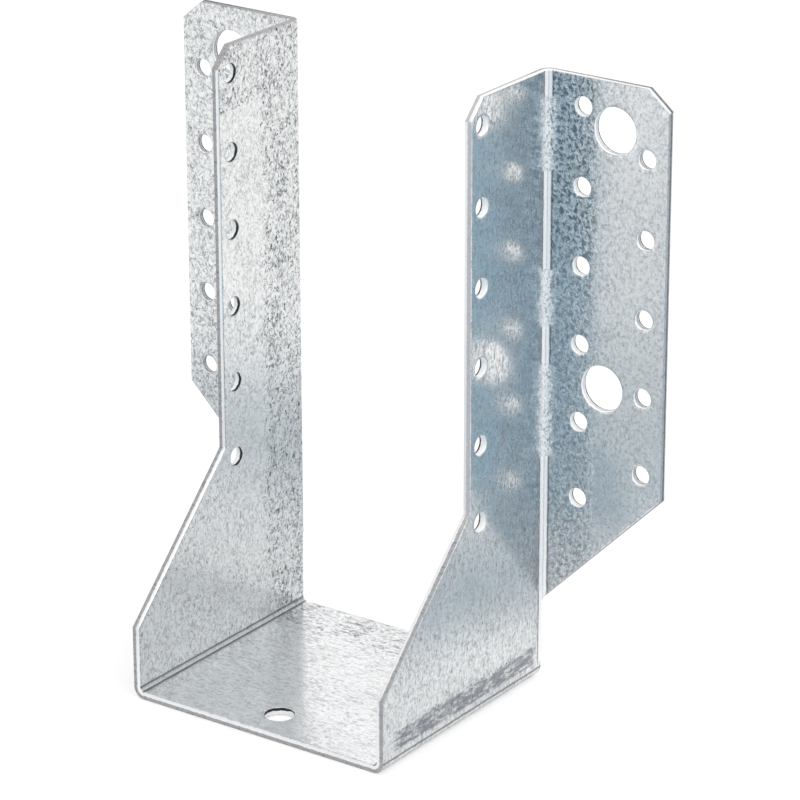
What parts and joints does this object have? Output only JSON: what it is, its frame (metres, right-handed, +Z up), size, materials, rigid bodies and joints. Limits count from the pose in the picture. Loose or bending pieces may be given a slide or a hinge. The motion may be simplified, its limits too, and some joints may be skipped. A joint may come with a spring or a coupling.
{
  "type": "joist hanger",
  "caption": "Face-mount joist hanger folded from galvanised steel sheet: a U-shaped pocket for the joist, with outward flanges punched for nails and bolts.",
  "frame": {"origin": "on the underside of the seat, in the middle of the overall width and depth", "axes": "+X across the joist, +Y towards the header, +Z up the cheeks"},
  "size_m": [0.144, 0.07, 0.1585],
  "materials": {
    "galvanised_steel": "hot-dip galvanised sheet with a fine spangle, burnished along the folds"
  },
  "bodies": {
    "root": {"joist_hanger": "galvanised_steel"}
  },
  "joints": []
}
